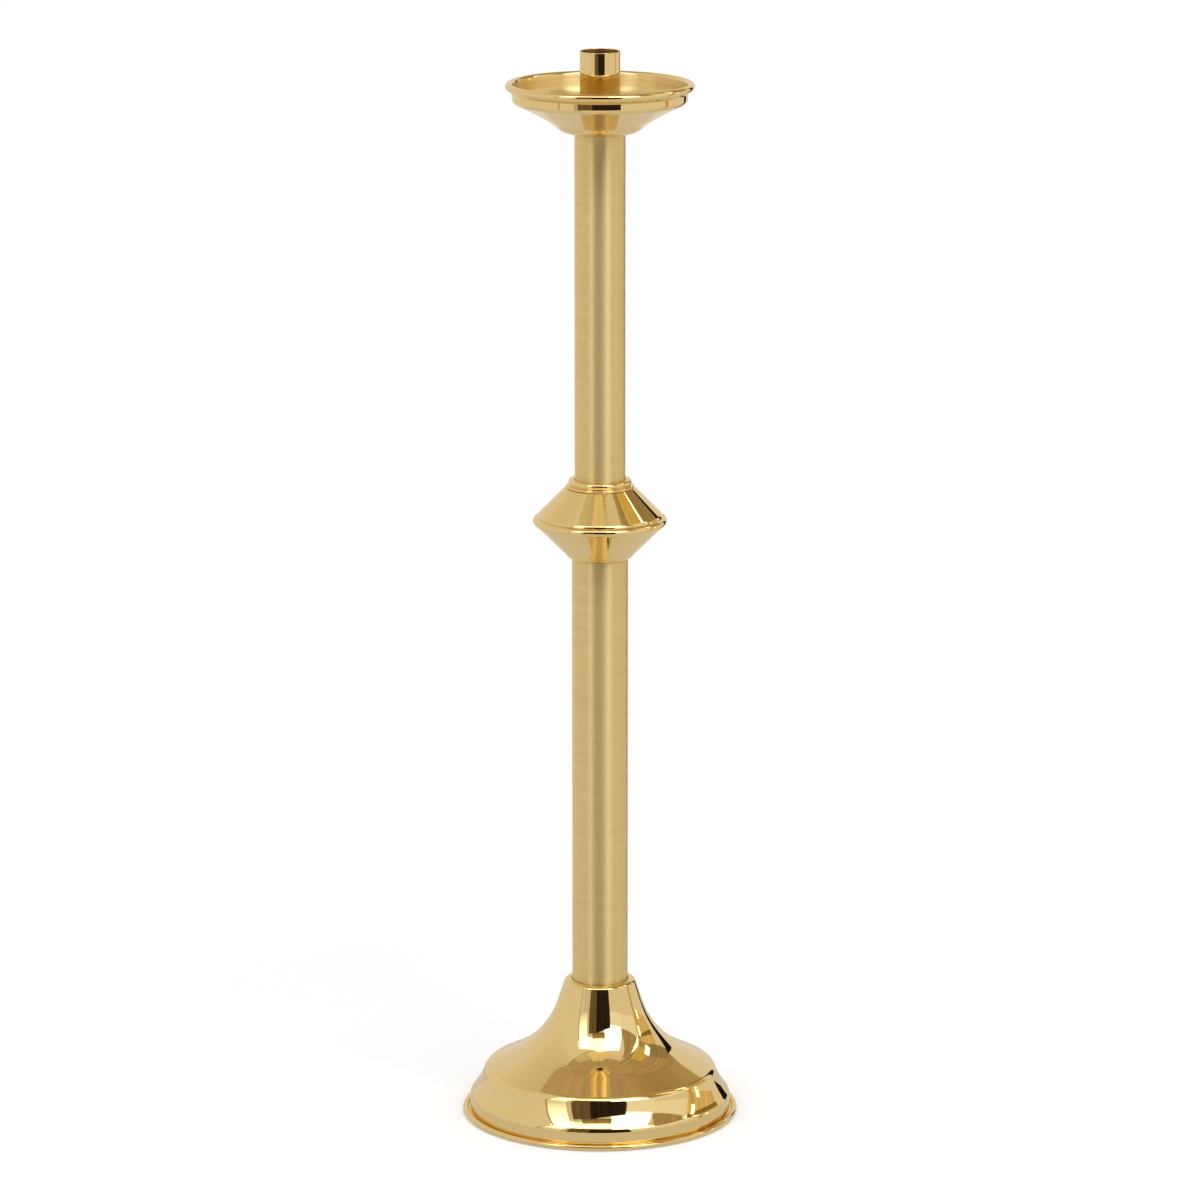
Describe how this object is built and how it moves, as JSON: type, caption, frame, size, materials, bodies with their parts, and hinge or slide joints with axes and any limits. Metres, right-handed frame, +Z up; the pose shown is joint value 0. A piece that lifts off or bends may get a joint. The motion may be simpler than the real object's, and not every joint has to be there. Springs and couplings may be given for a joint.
{
  "type": "processional torch",
  "caption": "Brass processional torch: tubular staff with a central node, drip pan and candle socket, standing loose in the sleeve of a weighted round floor stand.",
  "frame": {"origin": "on the floor, at the middle of the stand", "axes": "+Z up along the staff"},
  "size_m": [0.281, 0.2808, 1.0922],
  "materials": {
    "polished_brass": "mirror-polished and lacquered",
    "satin_brass": "satin, brushed round the tube",
    "turned_brass": "as turned",
    "steel": "zinc-plated",
    "cast_iron": "as cast, painted black",
    "felt": "pressed felt",
    "leather": "hard leather"
  },
  "bodies": {
    "stand": {"base_shell": "polished_brass", "base_weight": "cast_iron", "staff_sleeve": "satin_brass", "sleeve_plug": "satin_brass", "sleeve_nut": "steel", "felt_pad": "felt"},
    "seat": {"seat_disc": "leather"},
    "torch": {"lower_tube": "satin_brass", "foot_plug": "turned_brass", "foot_washer": "steel", "foot_nut": "steel", "tie_rod": "steel", "node_foot_ring": "polished_brass", "node_lower_shell": "polished_brass", "node_upper_shell": "polished_brass", "node_collar": "polished_brass", "node_core": "turned_brass", "upper_tube": "satin_brass", "tube_cap": "turned_brass", "drip_pan": "polished_brass", "socket_base": "turned_brass", "candle_socket": "polished_brass", "socket_washer": "steel", "socket_nut": "steel"}
  },
  "joints": [
    {"name": "torch_turn", "type": "hinge", "parent": "stand", "child": "seat", "pos_m": [0, 0, 0.01], "axis": [0, 0, 1], "continuous": true},
    {"name": "torch_lift", "type": "slide", "parent": "seat", "child": "torch", "axis": [0, 0, 1], "range_m": [0, 0.135]}
  ]
}
